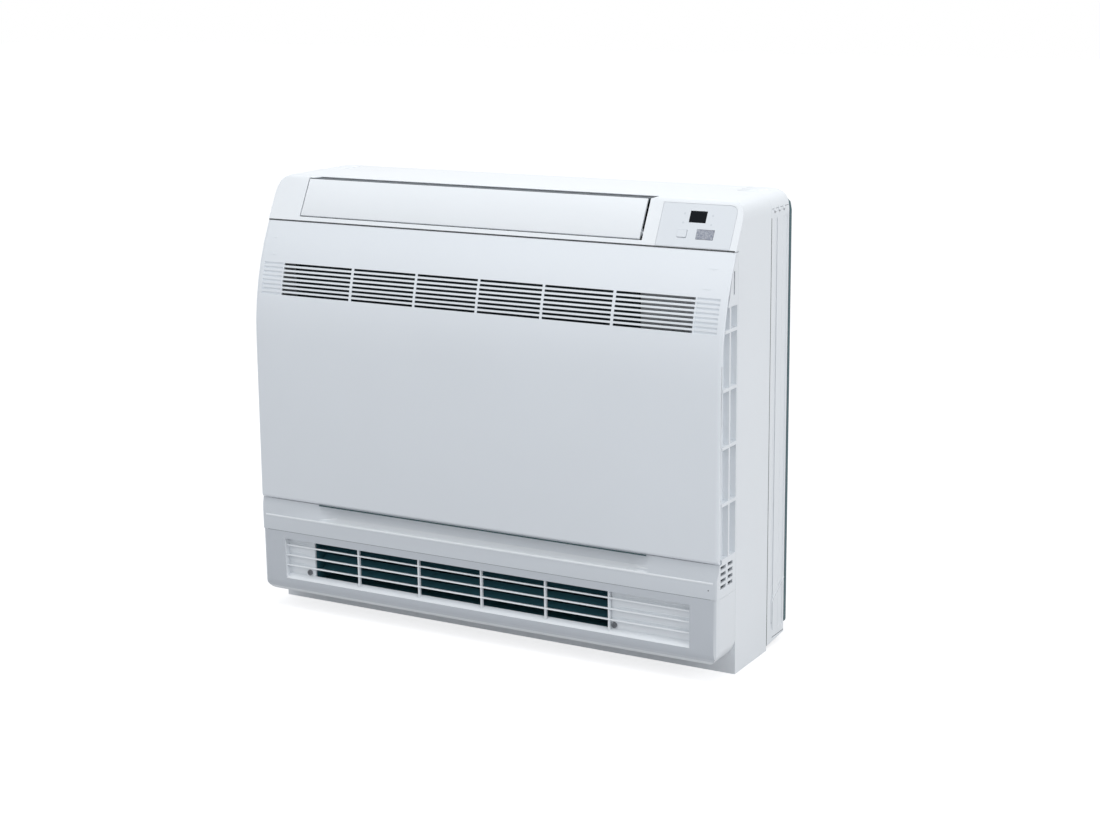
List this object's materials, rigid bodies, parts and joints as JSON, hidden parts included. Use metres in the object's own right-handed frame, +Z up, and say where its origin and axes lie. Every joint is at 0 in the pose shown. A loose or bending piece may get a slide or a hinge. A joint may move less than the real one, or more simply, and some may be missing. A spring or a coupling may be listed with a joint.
{
  "type": "floor console air conditioner",
  "caption": "Slim floor-standing air conditioner with a curved hinged front panel, tilting upper louver with swing vanes, lower outlet grille, filters, coil, fan and side controls.",
  "frame": {"origin": "middle of the footprint on the floor", "axes": "+X to the right seen from the front, +Y towards the wall, +Z up"},
  "size_m": [0.7, 0.215, 0.6],
  "materials": {
    "white_abs": "bright white moulded plastic, fine satin",
    "pale_abs": "pale cool white moulded plastic, satin",
    "dark_plastic": "dark teal-grey moulded plastic, matt",
    "teal_steel": "dark teal coated sheet",
    "zinc_steel": "zinc plated sheet",
    "filter_mesh": "fine net in a moulded frame",
    "fin_aluminium": "blue-green coated fins",
    "copper": "bare copper tube",
    "brass": "machined",
    "black_gloss": "smoked window, gloss",
    "grey_gloss": "grey smoked receiver window, gloss",
    "circuit_board": "green lacquered board"
  },
  "bodies": {
    "casing": {"cabinet_shell": "white_abs", "rear_case": "white_abs", "front_frame": "white_abs", "control_panel": "white_abs", "fan_casing": "white_abs", "lower_grille": "pale_abs", "bell_mouth": "pale_abs", "drain_pan": "pale_abs", "upper_duct": "dark_plastic", "lower_duct": "dark_plastic", "terminal_block": "dark_plastic", "cable_gland": "dark_plastic", "wall_plate": "teal_steel", "grille_screw_1": "zinc_steel", "grille_screw_2": "zinc_steel", "louver_motor": "zinc_steel", "vane_motor": "zinc_steel", "fan_motor": "zinc_steel", "motor_bracket": "zinc_steel", "damper_motor": "zinc_steel", "coil_end_left": "zinc_steel", "coil_end_right": "zinc_steel", "electric_box": "zinc_steel", "electric_box_cover": "zinc_steel", "air_filter_left": "filter_mesh", "air_filter_right": "filter_mesh", "cooling_coil": "fin_aluminium", "liquid_pipe": "copper", "gas_pipe": "copper", "liquid_pipe_nut": "brass", "gas_pipe_nut": "brass", "display_window": "black_gloss", "receiver_window": "grey_gloss", "display_board": "circuit_board", "control_board": "circuit_board"},
    "front_panel": {"front_panel": "pale_abs"},
    "panel_catch_left": {"panel_catch_left": "dark_plastic"},
    "panel_catch_right": {"panel_catch_right": "dark_plastic"},
    "upper_louver": {"upper_louver": "white_abs"},
    "vane_link": {"vane_link": "dark_plastic"},
    "lower_damper": {"lower_damper": "dark_plastic"},
    "run_button": {"run_button": "white_abs"},
    "fan": {"fan_rotor": "white_abs", "motor_shaft": "zinc_steel", "fan_nut": "brass"},
    "vane_1": {"vane_1": "dark_plastic"},
    "vane_2": {"vane_2": "dark_plastic"},
    "vane_3": {"vane_3": "dark_plastic"},
    "vane_4": {"vane_4": "dark_plastic"},
    "vane_5": {"vane_5": "dark_plastic"},
    "vane_6": {"vane_6": "dark_plastic"},
    "vane_7": {"vane_7": "dark_plastic"},
    "vane_8": {"vane_8": "dark_plastic"}
  },
  "joints": [
    {"name": "front_panel_hinge", "type": "hinge", "parent": "casing", "child": "front_panel", "pos_m": [0, -0.10144, 0.163], "axis": [1, 0, 0], "range_deg": [0, 35]},
    {"name": "upper_louver_hinge", "type": "hinge", "parent": "casing", "child": "upper_louver", "pos_m": [0, -0.04829, 0.55437], "axis": [1, 0, 0], "range_deg": [0, 62]},
    {"name": "lower_damper_hinge", "type": "hinge", "parent": "casing", "child": "lower_damper", "pos_m": [0, -0.022, 0.0985], "axis": [1, 0, 0], "range_deg": [0, 85]},
    {"name": "fan_spin", "type": "hinge", "parent": "casing", "child": "fan", "pos_m": [-0.04075, 0.05, 0.33], "axis": [0, 1, 0], "continuous": true},
    {"name": "panel_catch_left_slide", "type": "slide", "parent": "casing", "child": "panel_catch_left", "axis": [1, 0, 0], "range_m": [0, 0.004], "stiffness_N_per_m": 150},
    {"name": "panel_catch_right_slide", "type": "slide", "parent": "casing", "child": "panel_catch_right", "axis": [-1, 0, 0], "range_m": [0, 0.004], "stiffness_N_per_m": 150},
    {"name": "run_button_press", "type": "slide", "parent": "casing", "child": "run_button", "axis": [0, 0.8829, -0.4695], "range_m": [0, 0.001], "stiffness_N_per_m": 200},
    {"name": "vane_link_slide", "type": "slide", "parent": "casing", "child": "vane_link", "axis": [1, 0, 0], "range_m": [-0.0042, 0.0042]},
    {"name": "vane_1_turn", "type": "hinge", "parent": "casing", "child": "vane_1", "pos_m": [-0.26744, -0.0213, 0.56], "axis": [0, 0, 1], "range_deg": [-25, 25]},
    {"name": "vane_2_turn", "type": "hinge", "parent": "casing", "child": "vane_2", "pos_m": [-0.20231, -0.0213, 0.56], "axis": [0, 0, 1], "range_deg": [-25, 25]},
    {"name": "vane_3_turn", "type": "hinge", "parent": "casing", "child": "vane_3", "pos_m": [-0.13719, -0.0213, 0.56], "axis": [0, 0, 1], "range_deg": [-25, 25]},
    {"name": "vane_4_turn", "type": "hinge", "parent": "casing", "child": "vane_4", "pos_m": [-0.07206, -0.0213, 0.56], "axis": [0, 0, 1], "range_deg": [-25, 25]},
    {"name": "vane_5_turn", "type": "hinge", "parent": "casing", "child": "vane_5", "pos_m": [-0.00694, -0.0213, 0.56], "axis": [0, 0, 1], "range_deg": [-25, 25]},
    {"name": "vane_6_turn", "type": "hinge", "parent": "casing", "child": "vane_6", "pos_m": [0.05819, -0.0213, 0.56], "axis": [0, 0, 1], "range_deg": [-25, 25]},
    {"name": "vane_7_turn", "type": "hinge", "parent": "casing", "child": "vane_7", "pos_m": [0.12331, -0.0213, 0.56], "axis": [0, 0, 1], "range_deg": [-25, 25]},
    {"name": "vane_8_turn", "type": "hinge", "parent": "casing", "child": "vane_8", "pos_m": [0.18844, -0.0213, 0.56], "axis": [0, 0, 1], "range_deg": [-25, 25]}
  ],
  "couplings": [
    {"joint": "vane_1_turn", "follows": "vane_link_slide", "rad_per_m": -100},
    {"joint": "vane_2_turn", "follows": "vane_link_slide", "rad_per_m": -100},
    {"joint": "vane_3_turn", "follows": "vane_link_slide", "rad_per_m": -100},
    {"joint": "vane_4_turn", "follows": "vane_link_slide", "rad_per_m": -100},
    {"joint": "vane_5_turn", "follows": "vane_link_slide", "rad_per_m": -100},
    {"joint": "vane_6_turn", "follows": "vane_link_slide", "rad_per_m": -100},
    {"joint": "vane_7_turn", "follows": "vane_link_slide", "rad_per_m": -100},
    {"joint": "vane_8_turn", "follows": "vane_link_slide", "rad_per_m": -100}
  ]
}
